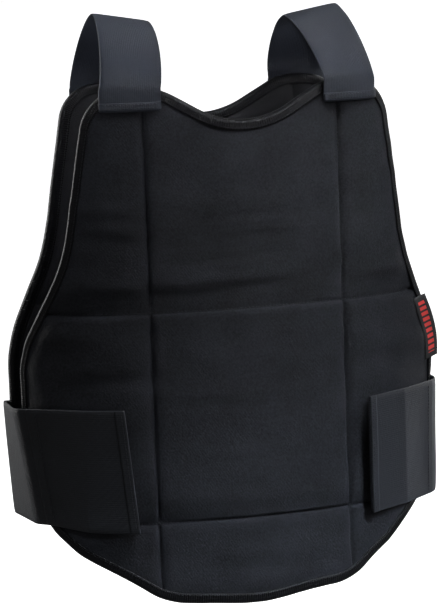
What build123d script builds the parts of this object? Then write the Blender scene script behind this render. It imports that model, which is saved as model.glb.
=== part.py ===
"""Torso protector: two quilted foam panels joined by elastic shoulder straps and waist belts.

Millimetres. +X is the wearer's left, -Y the way the wearer faces, +Z up. The origin is midway
between the two shoulder straps, under the top of their loops, where a shoulder or hanger carries
them. Each panel is a flat-cut pad bent round the torso about upright axes, so its plan is three
tangent arcs, and its outline is cut through that bent pad along Y.
"""
from math import asin, atan2, cos, degrees, radians, sin, tan
import os

from build123d import *

# Panel layers, measured from the outer face in towards the torso.
PAD_THICK = 12.0
CLOTH_THICK = 1.0
BINDING_WIDTH = 9.0
BINDING_WEB = 2.0
BINDING_THICK = 1.0

# Plan bend of each panel: a shallow arc across the middle and a tighter one round each side.
BEND_HALF_WIDTH = 90.0
PLAN_HALF_WIDTH = 194.0
FRONT = {"face_y": -77.0, "inward": 1, "middle_radius": 465.0, "side_radius": 150.0}
BACK = {"face_y": 73.0, "inward": -1, "middle_radius": 900.0, "side_radius": 600.0}

# Panel outlines, wearer's left half, as corners (x, z) with their rounding radii. The two panels
# share the neck and the hem. The back panel is a little narrower at the shoulder.
NECK_CORNER = (0.0, -101.0, 79.0)
COLLAR_CORNER = (80.0, -55.5, 60.0)
LOW_CORNERS = [(190.5, -421.0, 60.0), (85.0, -501.0, 60.0)]
HEM_CORNER = (0.0, -508.0, 300.0)
FRONT["side_corners"] = [(135.0, -63.5, 38.0), (157.0, -204.0, 150.0), (190.5, -283.0, 120.0)]
BACK["side_corners"] = [(128.5, -64.0, 34.0), (153.0, -202.5, 150.0), (191.5, -281.0, 115.0)]

# Quilting: two upright seams and two level seams part each panel into nine foam pads.
SEAM_X = 87.0
CHEST_SEAM_Z = -250.0
HIP_SEAM_Z = -432.5
SEAM_GAP = 3.0
COLUMNS = {"right": (-400.0, -SEAM_X), "centre": (-SEAM_X, SEAM_X), "left": (SEAM_X, 400.0)}
ROWS = {"chest": (CHEST_SEAM_Z, 0.0), "belly": (HIP_SEAM_Z, CHEST_SEAM_Z), "hip": (-600.0, HIP_SEAM_Z)}

# Layers that only lie against each other stay this far apart.
LYING_GAP = 0.3

# Hook-and-loop stack on a panel face: loop patch, clearance, hook patch, then the webbing.
PATCH_THICK = 1.0
HOOK_GAP = LYING_GAP
WEBBING_THICK = 2.0
HINGE_GAP = 0.6
WEBBING_NEAR = -(2 * PATCH_THICK + HOOK_GAP)
WEBBING_FAR = WEBBING_NEAR - WEBBING_THICK

# Shoulder straps, 50 mm elastic. Each loop is a pointed arch that leans inward at its top.
STRAP_FRONT_X = (72.5, 121.0)
STRAP_TOP_X = (62.0, 110.0)
STRAP_BACK_X = (68.0, 117.0)
STRAP_SPRING_Z = -57.0
STRAP_RISE = (52.5, 60.7)
STRAP_ARCH_POWER = 4 / 3
STRAP_ARCH_STEPS = (0, 12, 26, 42, 60, 78)
STRAP_TOP_GAP = 1.0
STRAP_HEM_Z = -77.0
STRAP_HEM_HEIGHT = 6.0
STRAP_TAB_TOP_Z = -66.0
STRAP_TAB_BOTTOM_Z = -142.0
PATCH_TOP_Z = -74.0
PATCH_MARGIN = 3.0

# Waist belts, 102 mm elastic, sewn to the back panel and fastened on the front panel's face.
BELT_TOP_Z = -336.0
BELT_HEIGHT = 101.6
BELT_TIP_TURN = 18.0
BELT_LEAVE_TURN = 33.0
BELT_CORNER = (204.0, -11.0, 36.0)
BELT_BACK_CORNER_X = 195.5
BELT_BACK_BEND = 10.0
BELT_SEWN_X = 150.0
BELT_HINGE_Y = 40.0
BELT_SEAM_X = 178.0
BELT_PATCH_TURNS = (19.5, 31.5)
BELT_PATCH_MARGIN = 5.0
AXIS_STANDOFF = 0.2

# Folded label sewn over the binding on the wearer's left.
TAG_X = (177.0, 188.5)
TAG_Z = (-318.0, -264.0)
TAG_THICK = 0.8

# Reach of the cutting blocks along Y, and the height range that takes in a whole panel.
FAR = 400.0
PANEL_HEIGHTS = (-600.0, 0.0)


def bend_turn(panel):
    """Angle through which the middle arc has turned where the side arc takes over."""
    return degrees(asin(BEND_HALF_WIDTH / panel["middle_radius"]))


def plan_point(panel, turn, depth):
    """Point of the plan profile where it has turned by `turn` degrees, `depth` inside the face."""
    bend = bend_turn(panel)
    middle, side = panel["middle_radius"], panel["side_radius"]
    angle = radians(turn)
    if abs(turn) <= bend:
        x = (middle - depth) * sin(angle)
        back = middle - (middle - depth) * cos(angle)
    else:
        joint = radians(bend if turn > 0 else -bend)
        x = (middle - side) * sin(joint) + (side - depth) * sin(angle)
        back = middle - (middle - side) * cos(joint) - (side - depth) * cos(angle)
    return (x, panel["face_y"] + panel["inward"] * back)


def turn_at(panel, x):
    """Turn of the plan profile at a place `x` across the panel's face."""
    bend = bend_turn(panel)
    if abs(x) <= BEND_HALF_WIDTH:
        return degrees(asin(x / panel["middle_radius"]))
    start = (panel["middle_radius"] - panel["side_radius"]) * sin(radians(bend))
    turn = degrees(asin((abs(x) - start) / panel["side_radius"]))
    return turn if x > 0 else -turn


def face_y(panel, x, depth=0.0):
    """Y of the panel's plan profile at a place `x` across, `depth` inside the face."""
    return plan_point(panel, turn_at(panel, x), depth)[1]


def band(panel, near, far, turns, z_range):
    """Upright curved wall between two depths of a panel, over a range of turns and heights."""
    bend = bend_turn(panel)
    stops = [turns[0]] + [t for t in (-bend, bend) if turns[0] < t < turns[1]] + [turns[1]]
    with BuildSketch(Plane.XY.offset(z_range[0])) as sketch:
        with BuildLine():
            for depth in (near, far):
                for start, end in zip(stops, stops[1:]):
                    places = [plan_point(panel, t, depth) for t in (start, (start + end) / 2, end)]
                    ThreePointArc(*places)
            for turn in turns:
                Line(plan_point(panel, turn, near), plan_point(panel, turn, far))
        make_face()
    return extrude(sketch.sketch, amount=z_range[1] - z_range[0])


def whole_width(panel):
    """Range of turns that covers the panel from edge to edge."""
    turn = turn_at(panel, PLAN_HALF_WIDTH)
    return (-turn, turn)


def outline_prism(panel, inset):
    """The panel's outline, moved in by `inset`, run along Y through everything."""
    left_corners = [COLLAR_CORNER] + panel["side_corners"] + LOW_CORNERS
    right_corners = [(-x, z, radius) for x, z, radius in reversed(left_corners)]
    corners = [NECK_CORNER] + left_corners + [HEM_CORNER] + right_corners
    with BuildSketch(Plane.XZ) as sketch:
        with BuildLine():
            FilletPolyline([(x, z) for x, z, _ in corners], radius=[r for _, _, r in corners], close=True)
        make_face()
        if inset:
            offset(amount=-inset)
    return extrude(sketch.sketch, amount=FAR, both=True)


def slab(x_range, z_range):
    """Block through everything along Y, used to cut a patch out of a curved wall."""
    size = (x_range[1] - x_range[0], 2 * FAR, z_range[1] - z_range[0])
    centre = (sum(x_range) / 2, 0, sum(z_range) / 2)
    return Pos(*centre) * Box(*size)


def make_panel(panel, name):
    """One quilted panel: shell, lining, nine foam pads and the tape that binds their edges."""
    turns = whole_width(panel)
    cloth_edge = outline_prism(panel, BINDING_WEB)
    pieces = {}
    pieces[name + "_outer_shell"] = band(panel, 0, CLOTH_THICK, turns, PANEL_HEIGHTS) & cloth_edge
    inner = PAD_THICK - CLOTH_THICK
    pieces[name + "_lining"] = band(panel, inner, PAD_THICK, turns, PANEL_HEIGHTS) & cloth_edge
    foam_edge = outline_prism(panel, BINDING_WIDTH + CLOTH_THICK)
    foam_layer = band(panel, CLOTH_THICK, inner, turns, PANEL_HEIGHTS) & foam_edge
    half_gap = SEAM_GAP / 2
    for row, (low, high) in ROWS.items():
        for column, (left, right) in COLUMNS.items():
            cell = slab((left + half_gap, right - half_gap), (low + half_gap, high - half_gap))
            pieces["_".join((name, "foam", row, column))] = foam_layer & cell
    tape = band(panel, -BINDING_THICK, PAD_THICK + BINDING_THICK, turns, PANEL_HEIGHTS)
    tape &= outline_prism(panel, 0)
    tape -= outline_prism(panel, BINDING_WIDTH)
    tape -= band(panel, 0, PAD_THICK, turns, PANEL_HEIGHTS) & cloth_edge
    pieces[name + "_binding"] = tape
    return pieces


def strap_edge(side, angle):
    """Point on the inner (0) or outer (1) edge of the strap's arch, from front foot to back foot."""
    front_x, top_x, back_x = STRAP_FRONT_X[side], STRAP_TOP_X[side], STRAP_BACK_X[side]
    half_webbing = WEBBING_THICK / 2
    front_y = face_y(FRONT, front_x) - BINDING_THICK - LYING_GAP - half_webbing
    back_y = face_y(BACK, back_x, WEBBING_NEAR - half_webbing)
    reach = abs(cos(radians(angle))) ** STRAP_ARCH_POWER
    lift = sin(radians(angle)) ** STRAP_ARCH_POWER
    middle_y = (front_y + back_y) / 2
    foot_x, foot_y = (front_x, front_y) if angle <= 90 else (back_x, back_y)
    x = foot_x + (top_x - foot_x) * lift
    y = middle_y + (foot_y - middle_y) * reach
    return Vector(x, y, STRAP_SPRING_Z + STRAP_RISE[side] * lift)


def strap_section(angle):
    """Cross-section of the strap: as wide as its two edges are apart, as thick as the webbing."""
    inner, outer = strap_edge(0, angle), strap_edge(1, angle)
    step = 0.5
    ahead = strap_edge(0, min(angle + step, 180)) + strap_edge(1, min(angle + step, 180))
    behind = strap_edge(0, max(angle - step, 0)) + strap_edge(1, max(angle - step, 0))
    across = (outer - inner).normalized()
    normal = across.cross((ahead - behind).normalized()).normalized() * (WEBBING_THICK / 2)
    corners = [inner - normal, outer - normal, outer + normal, inner + normal]
    return make_face(Polyline(*corners, close=True))


def strap_arch(angles):
    """Length of the strap's arch through its cross-sections at the given angles."""
    return loft([strap_section(angle) for angle in angles], ruled=True)


def patch(panel, near, x_range, z_range):
    """Hook or loop patch lying at one level of the stack on a panel's face."""
    turns = (turn_at(panel, x_range[0]), turn_at(panel, x_range[1]))
    return band(panel, near - PATCH_THICK, near, turns, z_range)


def make_left_strap():
    """Left shoulder strap: sewn to the front panel, hook-and-loop tab on the back panel."""
    front_turns = tuple(turn_at(FRONT, x) for x in STRAP_FRONT_X)
    back_turns = tuple(turn_at(BACK, x) for x in STRAP_BACK_X)
    near = -BINDING_THICK - LYING_GAP
    far = near - WEBBING_THICK
    foot_heights = (STRAP_HEM_Z, STRAP_SPRING_Z)
    hem_heights = (STRAP_HEM_Z, STRAP_HEM_Z + STRAP_HEM_HEIGHT)
    patch_heights = (STRAP_TAB_BOTTOM_Z + PATCH_MARGIN, PATCH_TOP_Z)
    patch_x = (STRAP_BACK_X[0] + PATCH_MARGIN, STRAP_BACK_X[1] - PATCH_MARGIN)
    front_angles = STRAP_ARCH_STEPS + (90 - STRAP_TOP_GAP,)
    back_angles = tuple(180 - angle for angle in reversed(front_angles))
    pieces = {
        "strap_front": [band(FRONT, far, near, front_turns, foot_heights), strap_arch(front_angles)],
        "strap_front_hem": [band(FRONT, far - WEBBING_THICK, far, front_turns, hem_heights)],
        "strap_rear": [
            band(BACK, WEBBING_FAR, WEBBING_NEAR, back_turns, (STRAP_TAB_TOP_Z, STRAP_SPRING_Z)),
            strap_arch(back_angles),
        ],
        "strap_tab": [
            band(BACK, WEBBING_FAR, WEBBING_NEAR, back_turns,
                 (STRAP_TAB_BOTTOM_Z, STRAP_TAB_TOP_Z - HINGE_GAP)),
        ],
        "strap_hook_patch": [patch(BACK, WEBBING_NEAR + PATCH_THICK, patch_x, patch_heights)],
        "strap_loop_patch": [patch(BACK, 0, patch_x, patch_heights)],
    }
    return {name: Part() + solids for name, solids in pieces.items()}


def belt_strip():
    """The whole left belt as one upright strip, from its seam on the back to its tip in front."""
    half = WEBBING_THICK / 2
    back_clear = BINDING_THICK + LYING_GAP + half
    sewn_end = (BELT_SEWN_X, face_y(BACK, BELT_SEWN_X) + back_clear + LYING_GAP)
    back_corner = (BELT_BACK_CORNER_X, face_y(BACK, PLAN_HALF_WIDTH) + back_clear)
    leave = plan_point(FRONT, BELT_LEAVE_TURN, WEBBING_NEAR - half)
    tip = plan_point(FRONT, BELT_TIP_TURN, WEBBING_NEAR - half)
    lying = plan_point(FRONT, (BELT_TIP_TURN + BELT_LEAVE_TURN) / 2, WEBBING_NEAR - half)
    corner = BELT_CORNER[:2]
    run = FilletPolyline(sewn_end, back_corner, corner, leave, radius=[BELT_BACK_BEND, BELT_CORNER[2]])
    path = Wire(run.edges() + ThreePointArc(leave, lying, tip).edges())
    rim = path.offset_2d(half, side=Side.BOTH)
    face = Pos(0, 0, BELT_TOP_Z - BELT_HEIGHT) * make_face(rim.edges())
    return extrude(face, amount=BELT_HEIGHT), leave, corner


def make_left_belt():
    """Left belt in three lengths, parted at its two folds, with its hook and loop patches."""
    strip, leave, corner = belt_strip()
    slope = atan2(corner[1] - leave[1], corner[0] - leave[0])
    fold = (BELT_SEAM_X, leave[1] + (BELT_SEAM_X - leave[0]) * tan(slope))
    centre_z = BELT_TOP_Z - BELT_HEIGHT / 2
    gap_block = Box(HINGE_GAP, 12, BELT_HEIGHT + 10)
    strip -= Pos(fold[0], fold[1], centre_z) * Rot(0, 0, degrees(slope)) * gap_block
    strip -= Pos(BELT_BACK_CORNER_X, BELT_HINGE_Y, centre_z) * Rot(0, 0, 90) * gap_block
    lengths = strip.solids().sort_by(Axis.Y)
    lift = WEBBING_THICK / 2 + AXIS_STANDOFF
    fold_axis = (fold[0] + lift * sin(slope), fold[1] - lift * cos(slope))
    hinge_x = max(v.X for v in lengths[1].vertices() if abs(v.Y - BELT_HINGE_Y) < 3)
    print("belt fold axis", [round(v, 2) for v in fold_axis])
    print("belt hinge axis", [round(hinge_x + AXIS_STANDOFF, 2), BELT_HINGE_Y])
    low, high = BELT_TOP_Z - BELT_HEIGHT + BELT_PATCH_MARGIN, BELT_TOP_Z - BELT_PATCH_MARGIN
    hook_near = -PATCH_THICK - HOOK_GAP
    return {
        "belt_tab": lengths[0],
        "belt_side": lengths[1],
        "belt_root": lengths[2],
        "belt_hook_patch": band(FRONT, hook_near - PATCH_THICK, hook_near, BELT_PATCH_TURNS, (low, high)),
        "belt_loop_patch": band(FRONT, -PATCH_THICK, 0, BELT_PATCH_TURNS, (low, high)),
    }


def make_tag():
    """Label as a thin curved strip on the outer face of the front binding."""
    turns = (turn_at(FRONT, TAG_X[0]), turn_at(FRONT, TAG_X[1]))
    near = -BINDING_THICK
    return band(FRONT, near - TAG_THICK, near, turns, TAG_Z)


def main():
    """Builds every piece and writes one STEP file for each."""
    pieces = {}
    pieces.update(make_panel(FRONT, "front"))
    pieces.update(make_panel(BACK, "back"))
    for name, piece in {**make_left_strap(), **make_left_belt()}.items():
        pieces["left_" + name] = piece
        pieces["right_" + name] = mirror(piece, about=Plane.YZ)
    pieces["side_tag"] = make_tag()
    os.makedirs("parts", exist_ok=True)
    for name, piece in pieces.items():
        export_step(piece, "parts/" + name + ".step")


main()
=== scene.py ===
import math

import bpy
import numpy as np
from mathutils import Matrix, Vector
from mathutils.geometry import delaunay_2d_cdt


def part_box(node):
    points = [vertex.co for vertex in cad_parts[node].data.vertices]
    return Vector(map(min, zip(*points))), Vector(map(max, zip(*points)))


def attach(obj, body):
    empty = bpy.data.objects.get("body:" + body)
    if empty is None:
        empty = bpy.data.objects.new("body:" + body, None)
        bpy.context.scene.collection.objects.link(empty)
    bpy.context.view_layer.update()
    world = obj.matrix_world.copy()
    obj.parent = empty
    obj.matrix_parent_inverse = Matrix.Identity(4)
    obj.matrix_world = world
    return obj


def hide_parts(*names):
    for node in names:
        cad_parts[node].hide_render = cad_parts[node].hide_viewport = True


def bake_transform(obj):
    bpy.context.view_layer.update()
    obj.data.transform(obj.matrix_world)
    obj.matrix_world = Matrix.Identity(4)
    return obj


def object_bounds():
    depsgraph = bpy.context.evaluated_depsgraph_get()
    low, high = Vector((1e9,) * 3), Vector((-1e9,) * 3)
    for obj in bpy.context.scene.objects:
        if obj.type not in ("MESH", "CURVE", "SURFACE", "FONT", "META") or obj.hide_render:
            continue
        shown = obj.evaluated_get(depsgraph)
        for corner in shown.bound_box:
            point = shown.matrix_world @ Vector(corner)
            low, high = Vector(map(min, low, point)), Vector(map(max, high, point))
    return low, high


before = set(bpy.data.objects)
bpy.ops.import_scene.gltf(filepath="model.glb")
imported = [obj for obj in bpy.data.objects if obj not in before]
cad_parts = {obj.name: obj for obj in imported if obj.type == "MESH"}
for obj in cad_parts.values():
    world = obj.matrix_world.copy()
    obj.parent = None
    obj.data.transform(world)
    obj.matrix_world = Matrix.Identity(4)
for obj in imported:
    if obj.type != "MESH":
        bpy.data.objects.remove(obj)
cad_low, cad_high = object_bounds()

# Everything is in metres, in the frame of the CAD model: +X the wearer's left, -Y forward, +Z up.
# In plan a panel bends with one radius, "middle", within BEND_HALF_WIDTH of its middle line, and
# with another, "side", beyond it. "straight_from" is the arc length at which the wearer's left edge
# springs out straight, which the back panel's never does. "flare" is how much the hem leans out,
# "sag" how far one corner of the hem hangs, and "seed" starts its random relief.
# "shoulder", "waist" and "hip" are corners of its outline: x, z and rounding radius.
PAD_THICK = 0.012
BEND_HALF_WIDTH = 0.090
FRONT = {
    "name": "front",
    "body": "front_panel",
    "face_y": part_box("front_outer_shell")[0].y,
    "inward": 1,
    "middle": 0.465,
    "side": 0.150,
    "seed": 11,
    "straight_from": 0.153,
    "flare": 0.085,
    "shoulder": (0.1350, -0.0635, 0.038),
    "waist": (0.1570, -0.2040, 0.150),
    "hip": (0.1905, -0.2830, 0.120),
    "sag": 0.0105,
    # Creases in the cloth: height, place across, half width, how far they stand up, tilt.
    "creases": [
        (-0.146, -0.120, 0.036, 0.0009, 0.05),
        (-0.162, -0.118, 0.040, 0.0010, 0.02),
        (-0.180, -0.112, 0.044, 0.0011, -0.03),
        (-0.158, -0.010, 0.045, 0.0016, 0.06),
        (-0.176, 0.020, 0.052, 0.0022, 0.03),
        (-0.196, -0.020, 0.050, 0.0021, 0.08),
        (-0.222, -0.010, 0.060, 0.0018, 0.06),
        (-0.228, -0.125, 0.040, 0.0005, 0.04),
        (-0.226, 0.115, 0.034, 0.0009, 0.02),
        (-0.205, 0.118, 0.026, 0.0013, 0.10),
        (-0.300, -0.125, 0.040, 0.0007, 0.05),
        (-0.322, 0.000, 0.060, 0.0014, 0.04),
        (-0.372, 0.020, 0.055, 0.0013, 0.05),
    ],
}
BACK = {
    "name": "back",
    "body": "back_panel",
    "face_y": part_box("back_outer_shell")[1].y,
    "inward": -1,
    "middle": 0.900,
    "side": 0.600,
    "seed": 47,
    "straight_from": 0.9,
    "flare": 0.02,
    "shoulder": (0.1285, -0.0640, 0.034),
    "waist": (0.1530, -0.2025, 0.150),
    "hip": (0.1915, -0.2810, 0.115),
    "sag": 0.0,
    "creases": [
        (-0.150, 0.020, 0.060, 0.0010, 0.05),
        (-0.175, -0.110, 0.040, 0.0012, -0.04),
        (-0.190, 0.100, 0.045, 0.0012, 0.04),
        (-0.310, 0.000, 0.060, 0.0010, 0.04),
        (-0.370, -0.060, 0.055, 0.0010, -0.05),
    ],
}

# Outline corners (x, z) with rounding radii, wearer's left half, and the two on the middle line.
NECK_CORNER = (0.0, -0.1010, 0.079)
COLLAR_CORNER = (0.0800, -0.0555, 0.060)
LOW_CORNERS = [(0.1905, -0.4210, 0.060), (0.0850, -0.5010, 0.060)]
HEM_CORNER = (0.0, -0.5080, 0.300)

SEAM_X = 0.087
CHEST_SEAM_Z = -0.250
HIP_SEAM_Z = -0.4325
BINDING_WIDTH = 0.009
TAPE_THICK = 0.0009
EDGE_SINK = 0.0020
WEBBING_THICK = 0.0020
CLOTH_THICK = 0.0008
# The free edge springs out above this height, and fully so a blend further up.
STRAIGHT_ABOVE_Z = -0.345
STRAIGHT_BLEND = 0.080
SIDES = {"left": 1, "right": -1}

# Relief of the quilted cloth. Each level seam has its fold: how far above the seam it lies, how
# deep the cloth is sunk at the seam, and how high the fold stands.
CHEST_FOLD = (0.027, 0.0052, 0.0034)
HIP_FOLD = (0.022, 0.0034, 0.0016)
UPRIGHT_DIP = 0.0024
GROOVE_WIDTH = 0.0011
GROOVE_DEPTH = 0.0024
DRAG_DEPTH = 0.0024
PUCKER_DEPTH = 0.00050
# Cloth under a belt or a tape is pressed at least this deep, out to a margin round it.
HELD_DEPTH = 0.0010
HELD_MARGIN = 0.003
# The cloth stays between these depths.
HIGHEST_DEPTH = -0.0030
DEEPEST_DEPTH = EDGE_SINK + 0.0036

# The straps. Pairs are the inner and outer edge of the left one.
STRAP_FRONT_X = (0.0725, 0.1210)
STRAP_TOP_X = (0.0620, 0.1100)
STRAP_BACK_X = (0.0680, 0.1170)
STRAP_RISE = (0.0525, 0.0607)
STRAP_WIDTH = 0.0508
STRAP_COLUMNS = 15
STRAP_THICK = 0.0018
STRAP_SPRING_Z = -0.057
STRAP_HEM_Z = -0.077
STRAP_TAB_TOP_Z = -0.0663
STRAP_TAB_BOTTOM_Z = -0.142
STRAP_ARCH_POWER = 4 / 3
STRAP_FRONT_DEPTH = -0.0008
STRAP_BACK_DEPTH = -0.0033

# The belts. Turns are the panel's angle in plan, in degrees, where a belt's tip ends and where
# the belt leaves the panel. The corners are plan places outside the panels' edges.
BELT_TOP_Z = -0.336
BELT_HEIGHT = 0.1016
BELT_COLUMNS = 33
BELT_ROWS = 150
BELT_TIP_TURN = 18.0
BELT_LEAVE_TURN = 33.0
BELT_CORNER = (0.204, -0.011)
BELT_BACK_CORNER = (0.1955, 0.010)
BELT_SEWN_X = 0.150
BELT_SEAM_X = 0.178
BELT_DEPTH = -0.0033
BELT_FRONT_DEPTH = -0.0036
PLAN_HALF_WIDTH = 0.194
# The belts differ. "out", "lean" and "radius" shape the outer corner: how far it is moved out, how
# far it leans in at the lower edge, and its rounding. "reach" shifts the tip, "cut" slants it back
# at the top, and "proud" is how far it stands off the panel. "rise" lifts the upper edge towards
# the tip, and "lift" the lower edge at the outer corner.
BELT_SET = {
    "left": {
        "out": -0.0130, "lean": 0.003, "radius": 0.028, "reach": -0.0075,
        "cut": 0.000, "proud": 0.0075, "rise": 0.000, "lift": 0.000,
    },
    "right": {
        "out": -0.006, "lean": 0.016, "radius": 0.014, "reach": -0.0045,
        "cut": 0.009, "proud": 0.0012, "rise": 0.004, "lift": 0.004,
    },
}


# ---------- curves and lines

def swell(distance, width, power=2.2):
    """0 at no distance, rising in a rounded curve to 1 at `width`."""
    return 1 - (1 - np.clip(distance / width, 0, 1)) ** power


def hill(distance, width, power=2):
    """1 at no distance, fading out on both sides beyond `width`."""
    return np.exp(-(distance / width) ** power)


def lengths(points):
    """Length along an open line, at each of its points."""
    return np.concatenate([[0], np.cumsum(np.linalg.norm(np.diff(points, axis=0), axis=1))])


def along_line(wanted, length, values):
    """Rows of values at the wanted lengths along a line."""
    return np.stack([np.interp(wanted, length, values[:, k]) for k in range(values.shape[1])], -1)


def resample(loop, step):
    """Evenly spaced points round a closed line."""
    closed = np.vstack([loop, loop[:1]])
    length = lengths(closed)
    wanted = np.linspace(0, length[-1], int(round(length[-1] / step)), endpoint=False)
    return along_line(wanted, length, closed)


def resample_open(line, count):
    length = lengths(line)
    return along_line(np.linspace(0, length[-1], count), length, line)


def corner_arc(before, here, after, radius, step=None):
    """The arc that rounds a corner, with points a step apart, or 13 of them."""
    here = np.array(here)
    before = np.array(before) - here
    after = np.array(after) - here
    before /= np.linalg.norm(before)
    after /= np.linalg.norm(after)
    half = math.acos(np.clip(before @ after, -1, 1)) / 2
    centre = here + (before + after) / np.linalg.norm(before + after) * radius / math.sin(half)
    first = here + before * radius / math.tan(half) - centre
    last = here + after * radius / math.tan(half) - centre
    start = math.atan2(first[1], first[0])
    sweep = (math.atan2(last[1], last[0]) - start + math.pi) % (2 * math.pi) - math.pi
    pieces = max(2, int(abs(sweep) * radius / step)) if step else 12
    angles = start + sweep * np.linspace(0, 1, pieces + 1)
    return [centre + radius * np.array([math.cos(angle), math.sin(angle)]) for angle in angles]


def rounded_loop(corners, step):
    """Closed line through corners (x, z, radius), with each corner rounded."""
    points = []
    for i, (x, z, radius) in enumerate(corners):
        after = corners[(i + 1) % len(corners)]
        points.extend(corner_arc(corners[i - 1][:2], (x, z), after[:2], radius, step))
    return np.array(points)


def fillet_line(points):
    """Open plan line through (x, y, radius) corners, rounded at its inner corners."""
    line = [np.array(points[0][:2])]
    for before, here, after in zip(points, points[1:], points[2:]):
        line.extend(corner_arc(before[:2], here[:2], after[:2], here[2]))
    line.append(np.array(points[-1][:2]))
    return np.array(line)


# ---------- shapes of the two panels


def bend_turn(panel):
    return math.asin(BEND_HALF_WIDTH / panel["middle"])


def arc_of_x(panel, x):
    """Length along the panel's face from its middle line to the place `x` across."""
    x = np.asarray(x, float)
    bend = bend_turn(panel)
    start = (panel["middle"] - panel["side"]) * math.sin(bend)
    near = panel["middle"] * np.arcsin(np.clip(np.abs(x) / panel["middle"], 0, 1))
    turn = np.arcsin(np.clip((np.abs(x) - start) / panel["side"], -1, 1))
    far = panel["middle"] * bend + panel["side"] * (turn - bend)
    return np.sign(x) * np.where(np.abs(x) <= BEND_HALF_WIDTH, near, far)


def turn_of_arc(panel, s):
    bend = bend_turn(panel)
    reach = panel["middle"] * bend
    far = bend + (np.abs(s) - reach) / panel["side"]
    return np.sign(s) * np.where(np.abs(s) <= reach, np.abs(s) / panel["middle"], far)


def arc_at_turn(panel, degrees):
    """Arc length at which the side of the panel has turned this far in plan."""
    bend = bend_turn(panel)
    return panel["middle"] * bend + panel["side"] * (math.radians(degrees) - bend)


def flare(panel, z):
    """How far the panel leans out at its hem, from just above the hip seam down."""
    start_above, ease = 0.010, 0.015
    below = np.clip(HIP_SEAM_Z + start_above - z, 0, None)
    return panel["flare"] * below * below / (below + ease)


def place(panel, s, z, depth):
    """Points at an arc length `s` across the panel, a height `z` and a depth inside its face."""
    s, z, depth = np.broadcast_arrays(*(np.asarray(value, float) for value in (s, z, depth)))
    bend = bend_turn(panel)
    middle, side = panel["middle"], panel["side"]
    turn = turn_of_arc(panel, s)
    joint = np.sign(s) * bend
    x_near = (middle - depth) * np.sin(turn)
    y_near = middle - (middle - depth) * np.cos(turn)
    x_far = (middle - side) * np.sin(joint) + (side - depth) * np.sin(turn)
    y_far = middle - (middle - side) * np.cos(joint) - (side - depth) * np.cos(turn)
    inside = np.abs(turn) <= bend
    x, back = np.where(inside, x_near, x_far), np.where(inside, y_near, y_far)
    # Above the belt, the free edge on the wearer's left springs out straight.
    past = np.clip(s - panel["straight_from"], 0, None)
    held = float(turn_of_arc(panel, np.array(panel["straight_from"])))
    free = swell(z - STRAIGHT_ABOVE_Z, STRAIGHT_BLEND, 2.0) * (past > 0)
    x_free = (middle - side) * math.sin(bend) + (side - depth) * math.sin(held)
    y_free = middle - (middle - side) * math.cos(bend) - (side - depth) * math.cos(held)
    x_free, y_free = x_free + past * math.cos(held), y_free + past * math.sin(held)
    x, back = x + (x_free - x) * free, back + (y_free - back) * free - flare(panel, z)
    return np.stack([x, panel["face_y"] + panel["inward"] * back, z], -1)


def flat_outline(panel, step=0.0025):
    """The panel's outline in flat cloth coordinates: arc length across, and height."""
    left = [COLLAR_CORNER, panel["shoulder"], panel["waist"], panel["hip"]] + LOW_CORNERS
    right = [(-x, z, radius) for x, z, radius in reversed(left)]
    loop = rounded_loop([NECK_CORNER] + left + [HEM_CORNER] + right, 0.002)
    dense = resample(loop, 0.001)
    dense[:, 0] = arc_of_x(panel, dense[:, 0])
    # The hem's corner on the wearer's right hangs, and its lowest part on the left rides up.
    corner_s, corner_width = -0.165, 0.045
    hanging = hill(dense[:, 0] - corner_s, corner_width) * swell(-0.425 - dense[:, 1], 0.03)
    raised = swell(dense[:, 0], 0.050, 1.5) * swell(-0.470 - dense[:, 1], 0.020)
    dense[:, 1] += 0.3 * panel["sag"] * raised - panel["sag"] * hanging
    # Straightened, the free edge would reach too far out, so it is cut narrower.
    past = np.clip(dense[:, 0] - panel["straight_from"], 0, None)
    free = swell(dense[:, 1] - STRAIGHT_ABOVE_Z, STRAIGHT_BLEND, 2.0)
    dense[:, 0] -= past * (0.045 + 0.165 * free)
    return resample(dense, step)


def inward_normals(loop):
    ahead = np.roll(loop, -1, 0) - np.roll(loop, 1, 0)
    ahead /= np.linalg.norm(ahead, axis=1)[:, None]
    return np.stack([ahead[:, 1], -ahead[:, 0]], -1)


def edge_distance(points, loop):
    """Distance of each point from a closed line."""
    best = np.full(len(points), 1.0)
    for a, b in zip(loop, np.roll(loop, -1, 0)):
        d = b - a
        t = np.clip(((points - a) @ d) / (d @ d), 0, 1)
        best = np.minimum(best, np.linalg.norm(points - a - t[:, None] * d, axis=1))
    return best


def inside_loop(points, loop):
    inside = np.zeros(len(points), bool)
    for (xa, za), (xb, zb) in zip(loop, np.roll(loop, -1, 0)):
        crosses = (za > points[:, 1]) != (zb > points[:, 1])
        at = xa + (points[:, 1] - za) * (xb - xa) / (zb - za if zb != za else 1e-12)
        inside ^= crosses & (points[:, 0] < at)
    return inside


def graded_line(low, high, seams, fine=0.0007, coarse=0.0044):
    """Grid lines from low to high, close together at the seams and wider apart between them."""
    stops = [low] + [s for s in seams if low < s < high] + [high]
    lines = []
    for a, b in zip(stops, stops[1:]):
        count = max(4, int((b - a) / (coarse * 0.8)))
        t = np.linspace(0, 1, count * 20 + 1)
        near = np.minimum(t, 1 - t) * (b - a)
        pace = np.clip(fine + near * 0.25, fine, coarse)
        share = np.concatenate([[0], np.cumsum(1 / pace[1:])])
        steps = max(3, int(round(share[-1] * (t[1] - t[0]) * (b - a))))
        lines.extend(a + (b - a) * np.interp(np.linspace(0, share[-1], steps + 1), share, t)[:-1])
    return np.array(lines + [high])


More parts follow.
